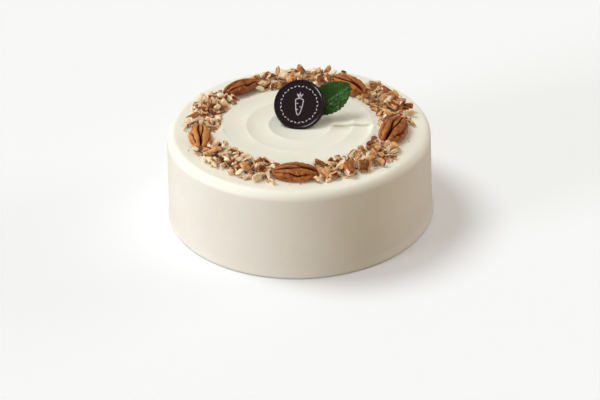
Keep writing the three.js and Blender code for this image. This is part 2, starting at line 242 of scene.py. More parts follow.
class Finish:
    """A material with its Principled shader at hand, and short ways to add the nodes these foods need."""

    def __init__(self, name, **values):
        self.material = bpy.data.materials.new(name)
        self.material.use_nodes = True
        self.tree = self.material.node_tree
        self.shader = self.tree.nodes["Principled BSDF"]
        for label, value in values.items():
            self.shader.inputs[label.replace("_", " ")].default_value = value

    def add(self, kind, **values):
        node = self.tree.nodes.new(kind)
        for label, value in values.items():
            setattr(node, label, value)
        return node

    def link(self, output, target):
        self.tree.links.new(output, target)

    def group(self, tree, **values):
        node = self.add("ShaderNodeGroup", node_tree=tree)
        for label, value in values.items():
            node.inputs[label.replace("_", " ")].default_value = value
        return node

    def mix(self, factor, first, second):
        """A blend of two colours, each a colour or another node's output, by a factor from a node."""
        node = self.add("ShaderNodeMix", data_type="RGBA")
        self.link(factor, node.inputs["Factor"])
        for value, target in ((first, node.inputs["A"]), (second, node.inputs["B"])):
            if isinstance(value, tuple):
                target.default_value = value
            else:
                self.link(value, target)
        return node.outputs["Result"]

    def attribute(self, name):
        return self.add("ShaderNodeAttribute", attribute_name=name).outputs["Fac"]

    def spread(self, value, low, high, to_low=0.0, to_high=1.0):
        """Stretches low..high of a value to to_low..to_high, and holds it there."""
        node = self.add("ShaderNodeMapRange")
        self.link(value, node.inputs["Value"])
        for label, number in (("From Min", low), ("From Max", high), ("To Min", to_low), ("To Max", to_high)):
            node.inputs[label].default_value = number
        return node.outputs["Result"]

    def feed(self, output, label):
        """Links a node's output to a socket of the shader itself."""
        self.link(output, self.shader.inputs[label])

    def patches(self, light, dark, per_metre):
        """Patchy colour between two colours."""
        patchy = self.group(PATCHY, Light=srgb(*light), Dark=srgb(*dark), Patches_per_metre=per_metre)
        return patchy.outputs["Color"]

    def grain(self, per_metre, depth, detail, smoothest, roughest):
        """Fine grain that tilts the normal, and runs the roughness from smoothest to roughest."""
        noise = self.group(GRAIN, Grains_per_metre=per_metre, Depth=depth, Detail=detail)
        self.feed(noise.outputs["Normal"], "Normal")
        self.feed(self.spread(noise.outputs["Height"], 0.3, 0.7, smoothest, roughest), "Roughness")


# %% [markdown]
# ## The icing
#
# Cream cheese icing is spread with a long palette knife while the cake turns. The side comes out smooth and
# the top edge softly round. On top, the knife's tip leaves rings: low crests with hollows between them. Where
# the knife is lifted, a short radial line is left on the right. The whole skin is one profile turned round
# the axis, then raised by a height field. That gives every ring its place by formula, where sculpting would
# have to be redone whenever a size changed.

# %% Sizes of the icing
TOP_RADIUS = 90.0
BASE_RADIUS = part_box("frosted_cake")[1][0] / MM
CAKE_HEIGHT = 63.0
EDGE_RADIUS = 6.5
CRESTS = np.array([21.5, 36.2, 51.2])
CREST_SHIFT = np.array([1.1, 0.7, -0.9])
RING_HEIGHT = 1.5
FADE_WIDTH = 8.0
SEAM_HEIGHT = 1.6
DAB = {"x": 1.6, "y": 15.5, "radius": 10.0, "height": 8.8}
print("icing", round(BASE_RADIUS * 2), "mm across and", CAKE_HEIGHT, "mm high")


# %% Height of the top
def ring_height(r, azimuth):
    """Scallops between sharp crests. From one crest to the next, with s from 0 to 1, the height is
    (1 - s)^2.5 + s^3, so a hollow lies between them. Inside the first crest it is s^3 alone, and outside the
    last one (1 - s)^2.5. Each crest is a circle set off a little to one side, and is highest on the left."""
    crests = [base + shift * np.cos(azimuth) for base, shift in zip(CRESTS, CREST_SHIFT)]
    starts = [crests[0] - 13, *crests]
    stops = [*crests, crests[-1] + FADE_WIDTH]
    height = np.zeros_like(r)
    for k, (start, stop) in enumerate(zip(starts, stops)):
        t = (r - start) / (stop - start)
        inside = (t >= 0) & (t < 1)
        t = np.clip(t, 0, 1)
        climb = t ** 3 if k < len(CRESTS) else 0
        fall = (1 - t) ** 2.5 if k > 0 else 0
        height = np.where(inside, climb + fall, height)
    depth = 0.70 + 0.25 * np.cos(azimuth - np.pi) + 0.14 * np.cos(2 * azimuth)
    return RING_HEIGHT * height * depth


def seam(r, azimuth):
    """The knife's line near azimuth 0: the far side is higher than the near side by SEAM_HEIGHT, both ease back
    to level over 40 degrees, and a crease runs at the foot. Inside the second crest the crease is one side of a
    wider hollow. Returns the height and how deep in the crease."""
    away = r * azimuth + 1.6
    within = smooth(r, CRESTS[0], CRESTS[0] + 4) * (1 - smooth(r, CRESTS[2] - 5, CRESTS[2]))
    step = 0.5 * SEAM_HEIGHT * np.tanh(away / 0.4) * (1 - smooth(np.abs(azimuth), 0, np.radians(40)))
    hollow = smooth(away, -8, -0.6) * (1 - smooth(away, -0.6, 0.3))
    hollow *= 1 - smooth(r, CRESTS[1] - 1.5, CRESTS[1])
    crease = within * np.maximum(0.5 * hollow, 0.9 * np.exp(-((away + 0.3) / 0.6) ** 2))
    return within * step - 0.6 * crease, crease


def top_height(x, y):
    """Height of the icing's top over any x and y."""
    r = np.hypot(x, y)
    azimuth = np.arctan2(y, x)
    points = np.stack([x, y, np.zeros_like(x)], axis=-1)
    dab = DAB["height"] * (1 - smooth(np.hypot(x - DAB["x"], y - DAB["y"]) / DAB["radius"], 0, 1))
    uneven = 0.22 * ripples(3, 9, 35, 90)(points) + 0.03 * ripples(4, 12, 7, 15)(points)
    return (CAKE_HEIGHT + ring_height(r, azimuth) + seam(r, azimuth)[0] + dab
            + uneven * (1 - smooth(r, 68, 82)) - 0.2 * smooth(r, 60, 83))


# %% Turn the profile into the icing
def icing_profile():
    """Radius and height from the middle of the top, over the round edge and down the side to the base."""
    top = np.concatenate([np.linspace(0.7, 18, 16), np.linspace(18.5, 60, 84),
                          np.linspace(61, TOP_RADIUS - EDGE_RADIUS - 0.3, 22)])
    turn = np.linspace(np.pi / 2, 0, 18)
    edge = [TOP_RADIUS - EDGE_RADIUS * (1 - np.cos(turn)), CAKE_HEIGHT - EDGE_RADIUS * (1 - np.sin(turn))]
    down = np.linspace(CAKE_HEIGHT - EDGE_RADIUS - 1.5, 1.4, 36)
    side = [TOP_RADIUS + (BASE_RADIUS - TOP_RADIUS) * (1 - down / (CAKE_HEIGHT - EDGE_RADIUS)), down]
    foot = [BASE_RADIUS - np.array([0.02, 0.3, 1.2, 3, 30, 60, 88]), np.array([0.9, 0.3, 0, 0, 0, 0, 0])]
    radius = np.concatenate([top, edge[0], side[0], foot[0]])
    height = np.concatenate([np.full(len(top), CAKE_HEIGHT), edge[1], side[1], foot[1]])
    return radius, height


def icing_points(columns=480, bunching=0.35):
    """Every point of the profile at every azimuth. Columns are drawn together at azimuth 0, where the knife's
    line is, by azimuth = even - bunching * sin(even). The top gets its height field, and the side a slow
    unevenness."""
    radius, height = icing_profile()
    even = np.linspace(-np.pi, np.pi, columns, endpoint=False)
    azimuth = even - bunching * np.sin(even)
    r, a = np.meshgrid(radius, azimuth, indexing="ij")
    z = np.repeat(height[:, None], columns, axis=1)
    x, y = r * np.cos(a), r * np.sin(a)
    on_top = (z > CAKE_HEIGHT - 1e-6) & (r < TOP_RADIUS - EDGE_RADIUS + 0.1)
    z = np.where(on_top, top_height(x, y), z - 0.2 * smooth(z, 50, 61))
    on_side = smooth(z, 1, 8) * smooth(r, 84, 89.5)
    dent = 0.45 + 0.3 * ripples(8, 8, 45, 120)(np.stack([x, y, z * 0.6], axis=-1))
    scale = 1 - on_side * np.clip(dent, 0, 1.2) / np.maximum(r, 1)
    return np.stack([x * scale, y * scale, z], axis=-1)


icing_grid = icing_points()[:, ::-1]
icing = closed_grid("icing", icing_grid)
x, y, z = np.moveaxis(icing_grid, -1, 0)
# The crease value also paints shade into the icing's colour, as the shadow of the knife line's fold and the
# hollow beside it.
crease = seam(np.hypot(x, y), np.arctan2(y, x))[1] * (z > CAKE_HEIGHT / 2)
set_attribute(icing, "crease", np.append(crease.ravel(), [0, 0]))
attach(icing, "root")
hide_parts("frosted_cake")
print("icing:", len(icing.data.polygons), "faces")

# %% [markdown]
# ### Its finish
#
# Icing is fat and sugar, so light goes a millimetre or two in and comes out warmer. That is subsurface
# scattering, and it is what keeps the shaded side creamy where plain paint would go grey. The colour hardly
# varies. In the knife line's crease and the hollow beside it, grey shade is painted into the colour as the
# shadow of the fold. The surface is satin with a very faint grain.

# %% Icing finish
def icing_finish():
    finish = Finish("satin ivory icing", Subsurface_Weight=0.25, Subsurface_Scale=0.0018,
                    Subsurface_Radius=(1.0, 0.62, 0.34), IOR=1.42)
    tone = finish.patches((250, 250, 240), (246, 245, 233), 26.0)
    # Painted shade: the crease value mixes the tone towards grey-green, as the shadow in the knife line's fold.
    finish.feed(finish.mix(finish.attribute("crease"), tone, srgb(208, 208, 186)), "Base Color")
    finish.grain(420.0, 0.00006, 5.0, 0.42, 0.56)
    return finish.material


icing.data.materials.append(icing_finish())

# %% [markdown]
# ## Pecan halves
#
# A pecan half is a long oval, round above and flat below. Two deep grooves run along its back with a narrow
# ridge between them. Each lobe beside them is folded along a wandering crease, with short wrinkles across.
# All of it is one skin of two parameters: how far along the nut, and how far round. The grooves are dents in
# that skin, each a narrow bell curve about a line that wanders with the first parameter.

# %% Where the halves lie
PECAN_LENGTH, PECAN_WIDTH, PECAN_HEIGHT = 30.5, 16.5, 8.6
# Azimuth, turn from the tangent and roll are in degrees, and pale says how pale the skin is.
HALF_FACTS = ("azimuth", "turn", "roll", "distance", "size", "pale")
HALVES = [dict(zip(HALF_FACTS, row)) for row in [
    (-93.0, -2, 12, 67.5, 1.0, 0.1),
    (-14.5, 170, -12, 65.7, 1.12, 0.1),
    (55.0, 168, 12, 61.5, 1.04, 0.2),
    (127.5, -2, 10, 65.0, 0.97, 0.0),
    (194.4, -10.5, -8, 68.2, 0.98, 0.8),
]]


def turned(axis, angle):
    """The matrix of a turn about the axis X, Y or Z."""
    a, b = {"X": (1, 2), "Y": (2, 0), "Z": (0, 1)}[axis]
    matrix = np.eye(3)
    matrix[a, a] = matrix[b, b] = np.cos(angle)
    matrix[a, b], matrix[b, a] = -np.sin(angle), np.sin(angle)
    return matrix


def half_turn(half):
    """The matrix that turns a half from its own frame into the cake's."""
    level = turned("Z", np.radians(half["azimuth"] + 90 + half["turn"]))
    return level @ turned("X", np.radians(half["roll"])) * half["size"]


def half_place(half):
    azimuth = np.radians(half["azimuth"])
    return half["distance"] * np.array([np.cos(azimuth), np.sin(azimuth)])


# %% The skin of a half
def bell(value, width):
    return np.exp(-(value / width) ** 2)


def pecan_skin(seed, rows=190, columns=220):
    """Points (along, around) of a half lying flat side down along X, and how deep in a groove each one is.

    The outline is length * t by width * (1 - t^2)^e for t from -1 to 1, where e runs from 0.56 at the blunt
    point to 0.40 at the notched end. Round the section the angle goes from the side over the top at pi / 2. A
    groove is a bell about a line in that angle, and the section shrinks towards its middle by the sum of all
    bells. The two main grooves run beside the tongue and join at the notched end, where the middle is drawn
    back by the notch."""
    rng = np.random.default_rng(seed)
    phase = rng.uniform(0, 2 * np.pi, 12)
    t = np.cos(np.linspace(np.pi, 0, rows + 2)[1:-1])[:, None]
    even = np.linspace(0, 2 * np.pi, columns, endpoint=False)[None]
    around = even + 0.26 * np.sin(2 * even)
    above = np.sin(around) > 0
    across = np.cos(around)
    from_top = (around - np.pi / 2 - 0.05 * np.sin(2.2 * t + phase[0]) + np.pi) % (2 * np.pi) - np.pi
    start = smooth(t, -0.98, -0.72)
    lobe_ends = 1 - smooth(np.abs(t), 0.72, 0.97)

    apart = 0.26 * (1 - smooth(t, -0.2, 0.8)) + 0.02 * np.sin(6 * t + phase[1])
    groove = np.zeros((rows, columns))
    for side in (-1, 1):
        width = 0.08 + 0.02 * side + 0.13 * smooth(t, 0.3, 0.95)
        groove += 0.37 * start * bell(from_top - side * apart, width)
        wave = 0.13 * np.sin(4.2 * t + phase[2 + side]) + 0.05 * np.sin(11 * t + phase[4 + side])
        strength = 0.85 + 0.25 * np.sin(5 * t + phase[6 + side])
        inside = 1 - smooth(np.abs(t), 0.7, 0.95)
        groove += 0.24 * strength * inside * bell(from_top - side * (0.92 + wave), 0.09)
        groove += 0.07 * bell(from_top - side * (1.42 + 0.6 * wave), 0.07) * lobe_ends
        across_lobe = np.sin(21 * t + 2.5 * side * from_top + 1.6 * np.sin(6 * t + phase[8 + side]))
        groove += 0.06 * smooth(across_lobe, 0.2, 1) * bell(np.abs(from_top) - 1.0, 0.3) * lobe_ends
    tongue = 0.14 * bell(from_top, 0.2) * (0.6 + 0.4 * smooth(t, -0.5, 0.5))

    taper = (1 - t * t) ** (0.48 - 0.08 * t)
    blunt = 1 + 0.1 * t - 0.12 * t * t
    skin = 1 - np.where(above, groove + tongue, 0)
    notch = 0.15 * bell(across, 0.3) * smooth(t, 0.35, 1)
    x = t * PECAN_LENGTH / 2 * (1 - notch)
    y = 0.5 * PECAN_WIDTH * taper * blunt * across * skin
    z = np.where(above, 0.78, 0.22) * PECAN_HEIGHT * taper * np.sin(around) * skin
    points = np.stack([x, y, z], axis=-1)
    wrinkle = 0.09 * ripples(seed, 14, 3.5, 8.0)(points) + 0.035 * ripples(seed + 1, 18, 1.1, 2.4)(points)
    outward = points * np.array([0.15, 1, 1])
    outward /= np.linalg.norm(outward, axis=-1, keepdims=True) + 1e-9
    points = points + outward * (wrinkle - 0.16)[..., None]
    return points, np.clip((groove + 0.5 * tongue) / 0.33, 0, 1)


def make_half(number, half):
    """A half turned to its place, and let down until its lowest point touches the icing."""
    node = f"pecan_half_{number}"
    points, groove = pecan_skin(20 + number)
    points = points @ half_turn(half).T
    points[..., :2] += half_place(half)
    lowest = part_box(node)[0][2] / MM - 0.2
    points[..., 2] += lowest - points[..., 2].min()
    piece = closed_grid(f"pecan_{number}", points)
    set_attribute(piece, "groove", np.append(groove.ravel(), [0, 0]))
    set_attribute(piece, "pale", np.full(groove.size + 2, half["pale"]))
    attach(piece, "root")
    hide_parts(node)
    return piece


pecans = [make_half(i + 1, half) for i, half in enumerate(HALVES)]
print("halves:", [piece.name for piece in pecans])

# %% [markdown]
# ### Nut skin
#
# The skin is thin, brown and a little waxy, a lighter tan-brown on the ridges. Down in the grooves and on the
# low tongue between them the colour runs to dark red-brown. This is partly the skin's own darker colour there,
# and partly painted shade. The groove depth that was stored on each point drives it, so the colour follows the
# form.

# %% Pecan finish
def pecan_finish():
    finish = Finish("pecan skin", Subsurface_Weight=0.08, Subsurface_Scale=0.002,
                    Subsurface_Radius=(1.0, 0.4, 0.2), IOR=1.35)
    brown = finish.patches((208, 128, 60), (130, 62, 18), 260.0)
    tan = finish.patches((246, 182, 108), (214, 138, 70), 260.0)
    speckled = finish.add("ShaderNodeMix", data_type="RGBA", blend_type="MULTIPLY")
    speckled.inputs["Factor"].default_value = 1.0
    finish.link(finish.mix(finish.attribute("pale"), brown, tan), speckled.inputs["A"])
    finish.link(finish.patches((255, 255, 255), (214, 200, 186), 1400.0), speckled.inputs["B"])
    # Painted shade, partly real: the groove depth darkens the skin towards dark red-brown in the grooves and on
    # the tongue.
    groove = finish.spread(finish.attribute("groove"), 0.08, 0.75)
    finish.feed(finish.mix(groove, speckled.outputs["Result"], srgb(96, 36, 8)), "Base Color")
    finish.grain(1300.0, 0.00035, 6.0, 0.36, 0.62)
    return finish.material


skin_finish = pecan_finish()
for piece in pecans:
    piece.data.materials.append(skin_finish)

# %% [markdown]
# ## Chopped pecans
#
# A knife breaks nuts into lumps with a few rough faces. Each lump here starts as a brick whose corners are
# each drawn in by a random amount. A ball of points with squarish faces is then stretched through those eight
# corners, and roughened. The places come from one repeatable sequence of numbers, the same one that the plain
# model uses, so every large lump lies where the plain model has it. Smaller bits and crumbs fill in between.

# %% The repeatable sequence
def sequence(seed):
    """state = state * 1664525 + 1013904223, modulo 2^32, divided by 2^32."""
    state = seed
    while True:
        state = (state * 1664525 + 1013904223) % 2**32
        yield state / 2**32


GARLAND_RADIUS, GARLAND_HALF_WIDTH, TALLEST = 66.0, 12.0, 9.0
AIR = 0.3
END_CLEAR = 11.5
LUMPS_PER_HEAP = 24
LEAST_LUMP, MOST_LUMP = 6.2, 12.5
# Lumps that stand out from the rest: heap, azimuth, distance, size, and turn, pitch and roll in degrees.
LARGE_LUMPS = [
    (0, -28, 56, 9.5, 20, 10, 0),
    (1, 35, 75, 12, 10, -15, 0),
    (2, 81.5, 71, 10, 0, 68, 0),
    (2, 88, 73, 10.5, 30, -60, 20),
    (2, 95.5, 75, 14, 4, 0, 10),
    (2, 106.5, 74, 13, 20, 8, -10),
    (4, 206.4, 61, 12, -10, 5, 12),
]


# %% Draw and drop the lumps
CORNER_SIGNS = np.array([[1 if k & bit else -1 for bit in (1, 2, 4)] for k in range(8)])


def make_lump(size, turn, pitch, roll, numbers):
    """Eight corners of a brick size long, each coordinate drawn in by up to 50%, and turned."""
    matrix = turned("Z", turn) @ turned("Y", pitch) @ turned("X", roll)
    half = size * np.array([0.5, 0.23 + 0.16 * next(numbers), 0.19 + 0.12 * next(numbers)])
    drawn_in = np.array([[1 - 0.5 * next(numbers) for _ in range(3)] for _ in range(8)])
    corners = (CORNER_SIGNS * half * drawn_in) @ matrix.T
    return {"size": size, "corners": corners, "up": corners[:, 2].max(), "down": -corners[:, 2].min()}


def meets_half(x, y, reach):
    """Whether a lump at x, y would run into a pecan half, seen from above as an ellipse."""
    for half in HALVES:
        local = np.linalg.inv(half_turn(half)) @ np.append(np.array([x, y]) - half_place(half), 0)
        if np.hypot(local[0] / (PECAN_LENGTH / 2 + reach), local[1] / (PECAN_WIDTH / 2 + reach)) < 1:
            return True
    return False


def resting_height(lump, x, y, lumps, reach):
    """How high a lump's middle stays when it is let down onto the icing and the lumps already there."""
    z = lump["down"] - AIR
    for other in lumps:
        apart = np.hypot(x - other["x"], y - other["y"]) / (reach * (lump["size"] + other["size"]))
        if apart < 1:
            z = max(z, other["z"] + 0.8 * (lump["down"] + other["up"]) * np.sqrt(1 - apart * apart))
    return z


def spot(azimuth, distance):
    return distance * np.cos(azimuth), distance * np.sin(azimuth)


def lowest(lump, places, lumps, clear, reach=0.3):
    """The lump at the place where it comes to rest lowest, or None if it runs into a half at every one."""
    best = None
    for x, y in places:
        z = resting_height(lump, x, y, lumps, reach)
        if not meets_half(x, y, clear) and (best is None or z < best["z"]):
            best = {**lump, "x": x, "y": y, "z": z}
    return best


def drop_lumps(heap, start, stop):
    """The lumps of one heap between two azimuths. Each tries four places and takes the lowest."""
    numbers = sequence(100 + heap)
    lumps = []
    for _, azimuth, distance, size, turn, pitch, roll in [row for row in LARGE_LUMPS if row[0] == heap]:
        azimuth, turn, pitch, roll = np.radians([azimuth, azimuth + 90 + turn, pitch, roll])
        lump = make_lump(size, turn, pitch, roll, numbers)
        x, y = spot(azimuth, distance)
        lumps.append({**lump, "x": x, "y": y, "z": lump["down"] - AIR})
    for _ in range(LUMPS_PER_HEAP):
        size = LEAST_LUMP + (MOST_LUMP - LEAST_LUMP) * next(numbers) ** 1.6
        turn = 2 * np.pi * next(numbers)
        pitch, roll = 1.4 * (next(numbers) - 0.5), 1.4 * (next(numbers) - 0.5)
        lump = make_lump(size, turn, pitch, roll, numbers)
        places = [spot(start + (stop - start) * next(numbers),
                       GARLAND_RADIUS + (next(numbers) + next(numbers) - 1) * GARLAND_HALF_WIDTH)
                  for _ in range(4)]
        best = lowest(lump, places, lumps, 0.25 * size)
        if best and best["z"] + best["up"] < TALLEST:
            lumps.append(best)
    return lumps


def heap_span(heap):
    """First and last azimuth of a heap, in radians."""
    start = HALVES[heap]["azimuth"]
    stop = HALVES[(heap + 1) % len(HALVES)]["azimuth"]
    stop += 360 if stop < start else 0
    return np.radians([start + END_CLEAR, stop - END_CLEAR])


heaps = [drop_lumps(heap, *heap_span(heap)) for heap in range(len(HALVES))]
print("lumps in each heap:", [len(lumps) for lumps in heaps])


# %% Smaller pieces between the lumps
SPLINTERS, BITS = 70, 40
HIGHEST_FOOT = 3.2


def drop_bits(heap, lumps):
    """Splinters of 5 to 9 mm and then bits of 2 to 4 mm, let down in turn onto the lumps and onto each other.
    Each tries eight places and takes the lowest, and is left out if that isn't down in a gap."""
    rng = np.random.default_rng(300 + heap)
    start, stop = heap_span(heap)
    numbers = sequence(500 + heap)
    below = list(lumps)
    for size in [*rng.uniform(5.0, 9.0, SPLINTERS), *rng.uniform(2.0, 4.0, BITS)]:
        turn, pitch, roll = rng.uniform(-np.pi, np.pi), rng.normal(0, 0.45), rng.uniform(-np.pi, np.pi)
        bit = make_lump(size, turn, pitch, roll, numbers)
        places = [spot(rng.uniform(start - 0.05, stop + 0.05),
                       GARLAND_RADIUS + np.clip(rng.normal(0, 5.4), -10.5, 11))
                  for _ in range(8)]
        best = lowest(bit, places, below, 0.15 * size, reach=0.22)
        if best and best["z"] - best["down"] < HIGHEST_FOOT and best["z"] + best["up"] < TALLEST - 1.5:
            below.append(best)
    return below[len(lumps):]


# %% One rough shape for every lump
def cube_ball(steps, squareness):
    """A cube's surface as a grid, each point pushed onto the surface |x|^p + |y|^p + |z|^p = 1, where p is
    the squareness. Returns the points and the faces."""
    line = np.tan(np.linspace(-1, 1, steps + 1) * np.pi / 4)
    u, v = np.meshgrid(line, line, indexing="ij")
    face = grid_quads(steps + 1, steps + 1, wrap=False)[:, ::-1]
    points, quads = [], []
    for axis in range(3):
        for sign in (-1, 1):
            side = np.zeros((steps + 1, steps + 1, 3))
            side[..., axis] = sign
            side[..., (axis + 1) % 3] = u if sign > 0 else v
            side[..., (axis + 2) % 3] = v if sign > 0 else u
            quads.append(face + len(points) * (steps + 1) ** 2)
            points.append(side.reshape(-1, 3))
    points, place = np.unique(np.round(np.concatenate(points), 6), axis=0, return_inverse=True)
    quads = place.reshape(-1)[np.concatenate(quads)]
    return points / (np.abs(points) ** squareness).sum(1, keepdims=True) ** (1 / squareness), quads


def broken_shapes(ball, count, rng):
    """A ball for each lump with its own breaks: for a random direction n and depth d, every point with
    p . n > d is moved back onto the plane p . n = d. Six such planes make the flat faces of a broken nut.
    Also returned is how far each point was moved, which is 0 on what is left of the outside."""
    shapes = np.repeat(ball[None], count, axis=0)
    moved = np.zeros(shapes.shape[:2])
    for _ in range(6):
        way = rng.normal(size=(count, 3))
        way /= np.linalg.norm(way, axis=1, keepdims=True)
        reach = rng.uniform(0.6, 1.1, (count, 1))
        beyond = np.clip(np.einsum("lvc,lc->lv", shapes, way) - reach, 0, None)
        shapes = shapes - beyond[..., None] * way[:, None]
        moved += beyond
    return shapes, moved


def lump_mesh(name, lumps, steps, seed):
    """All lumps as one mesh. A broken ball is rounded into a lobe on its upper side, stretched through the
    eight corners of its brick, and roughened. Stored on the points are skin, 1 on the nut's brown outside,
    deep, 1 in a fold or low down in the middle of the band, and tone, a random number for each lump."""
    ball, quads = cube_ball(steps, 9.0)
    rng = np.random.default_rng(seed)
    count = len(lumps)
    corners = np.array([lump["corners"] for lump in lumps])
    middles = np.array([[lump["x"], lump["y"], lump["z"]] for lump in lumps])
    size = np.array([lump["size"] for lump in lumps])[:, None]
    shapes, moved = broken_shapes(ball, count, rng)

    upright = rng.choice([-1, 1], (count, 1), p=[0.3, 0.7])
    height = shapes[..., 2] * upright
    edge = 0.10 * ripples(seed + 3, 12, 0.35, 1.0)(shapes + rng.uniform(0, 50, (count, 1, 3)))
    skin = smooth(height + edge, 0.0, 0.12) * (1 - smooth(moved + 0.5 * edge, 0.16, 0.24))
    bare = rng.random((count, 1)) < 0.18
    skin = np.where(bare, 0, skin)
    folds = np.sin(shapes[..., 1] * rng.uniform(3, 7, (count, 1))
                   + 2 * shapes[..., 0] * rng.normal(0, 1, (count, 1))
                   + 6 * edge + rng.uniform(0, 6, (count, 1)))
    folds = skin * smooth(folds, 0.6, 1)
    round_back = 1 - 0.42 * np.clip(height, 0, 1) * shapes[..., 1] ** 2 - 0.16 * folds
    shapes = shapes * np.stack([np.ones_like(height), np.ones_like(height), round_back], axis=-1)

    weights = np.prod((1 + shapes[:, :, None] * CORNER_SIGNS) / 2, axis=-1)
    points = np.einsum("lvk,lkc->lvc", weights, corners)
    own = points + rng.uniform(0, 500, (count, 1, 3))
    rough = 0.035 * ripples(seed, 16, 1.8, 4.0)(own) + 0.012 * ripples(seed + 1, 16, 0.7, 1.5)(own)
    points *= 1 + (np.clip(size, 0, 6) / 6 * rough * (1 - 0.5 * skin))[..., None]
    points += middles[:, None] + np.array([0, 0, CAKE_HEIGHT])
    low = top_height(points[..., 0], points[..., 1]) - 0.15
    points[..., 2] = np.maximum(points[..., 2], low)
    offsets = np.arange(count)[:, None, None] * len(ball)
    piece = make_mesh(name, points.reshape(-1, 3), (quads[None] + offsets).reshape(-1, 4))
    # deep marks where shade is painted into the nuts' colour: low in the middle of the band, where the pieces
    # shade each other, and in the folds.
    above = points[..., 2] - CAKE_HEIGHT
    aside = np.abs(np.hypot(points[..., 0], points[..., 1]) - GARLAND_RADIUS)
    deep = (1 - smooth(above, 0.5, 4.2)) * (1 - smooth(aside, 5, 10))
    set_attribute(piece, "skin", skin)
    set_attribute(piece, "deep", np.maximum(deep, 0.8 * folds))
    set_attribute(piece, "tone", np.repeat(rng.random(count), len(ball)))
    return piece


# %% Build the heaps
nut_heaps = []
for heap, lumps in enumerate(heaps):
    bits = drop_bits(heap, lumps)
    piece = lump_mesh(f"chopped_{heap + 1}", lumps, 14, 40 + heap)
    small = lump_mesh(f"bits_{heap + 1}", bits, 8, 60 + heap)
    for each in (piece, small):
        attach(each, "root")
    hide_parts(f"chopped_pecans_{heap + 1}")
    nut_heaps += [piece, small]
    print(piece.name, len(lumps), "lumps and", len(bits), "bits")


# %% [markdown]
# ### Crumbs
#
# Chopping leaves crumbs of a millimetre or so, which scatter past the edges of the garland. They lie on the
# icing one by one, thickest near the band and thinning out on both sides, and pale, because they are mostly
# flesh.

# %% Crumbs
def make_crumbs(count, seed):
    rng = np.random.default_rng(seed)
    numbers = sequence(900)
    crumbs = []
    for _ in range(count):
        azimuth = rng.uniform(-np.pi, np.pi)
        distance = GARLAND_RADIUS + rng.choice([-1, 1]) * (7 + rng.gamma(2.0, 1.6))
        x, y = spot(azimuth, distance)
        size = rng.uniform(0.7, 2.0)
        crumb = make_lump(size, *rng.uniform(-np.pi, np.pi, 3), numbers)
        if meets_half(x, y, 0.5) or abs(distance - GARLAND_RADIUS) > 15:
            continue
        z = float(top_height(np.array([x]), np.array([y]))[0]) - CAKE_HEIGHT + 0.7 * crumb["down"]
        crumbs.append({**crumb, "x": x, "y": y, "z": z})
    return crumbs


crumbs = lump_mesh("crumbs", make_crumbs(200, 77), 3, 78)
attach(crumbs, "root")
print("crumbs:", len(crumbs.data.polygons), "faces")

# %% [markdown]
# ### Nut flesh and skin
#
# One finish does for lumps, bits and crumbs. Where the stored skin value is 1 it is the brown of the whole
# nuts. Elsewhere it is flesh, from cream to tan by the lump's own tone, and a little waxy where light sinks
# in. In folds and low in the gaps, where the pieces shade each other, the stored deep value darkens the colour
# towards dark brown. That is painted shade.

# %% Chopped nut finish
def chopped_finish():
    finish = Finish("chopped pecan", Subsurface_Weight=0.25, Subsurface_Scale=0.0025,
                    Subsurface_Radius=(1.0, 0.6, 0.35), IOR=1.38)
    tone = finish.attribute("tone")
    pale = finish.patches((254, 242, 220), (238, 200, 150), 420.0)
    tan = finish.patches((236, 190, 136), (198, 134, 72), 420.0)
    flesh = finish.mix(finish.spread(tone, 0.35, 0.75), pale, tan)
    light_skin = finish.patches((190, 114, 56), (138, 68, 24), 380.0)
    dark_skin = finish.patches((142, 78, 46), (84, 36, 14), 380.0)
    skin = finish.mix(finish.spread(tone, 0.2, 0.9), light_skin, dark_skin)
    clean = finish.mix(finish.attribute("skin"), flesh, skin)
    # Painted shade: the deep value darkens the colour towards dark brown in folds and low in the gaps.
    painted_shade = finish.spread(finish.attribute("deep"), 0.0, 1.0, 0.0, 0.7)
    finish.feed(finish.mix(painted_shade, clean, srgb(92, 44, 16)), "Base Color")
    finish.grain(1500.0, 0.00014, 6.0, 0.45, 0.7)
    return finish.material


nut_finish = chopped_finish()
for piece in [*nut_heaps, crumbs]:
    piece.data.materials.append(nut_finish)

# %% [markdown]
# ## The chocolate disc
#
# The disc is cast in a shallow mould, so its edges are softly rounded and its flat face lies within a raised
# rim. It leans back on a dab of icing. A turned profile makes it, laid in a frame of its own: sideways, up
# the face, and out of it.

# %% Frame of the disc
DISC_RADIUS, DISC_THICKNESS, DISC_EDGE, FACE_DEPTH = 17.46, 4.0, 0.9, 0.45
LEAN, TURN = np.radians(40), np.radians(12)
disc_out = np.array([-np.sin(TURN) * np.cos(LEAN), -np.cos(TURN) * np.cos(LEAN), np.sin(LEAN)])
disc_side = np.array([np.cos(TURN), -np.sin(TURN), 0])
disc_up = np.cross(disc_out, disc_side)
disc_middle = np.mean(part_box("chocolate_disc"), axis=0) / MM
face_middle = disc_middle + disc_out * DISC_THICKNESS / 2


def on_face(across, up_face, out=0.0):
    """Points given in the disc's own frame, from the middle of its face, placed on the cake."""
    own = np.stack(np.broadcast_arrays(across, up_face, out), axis=-1)
    return face_middle + own @ np.stack([disc_side, disc_up, disc_out])


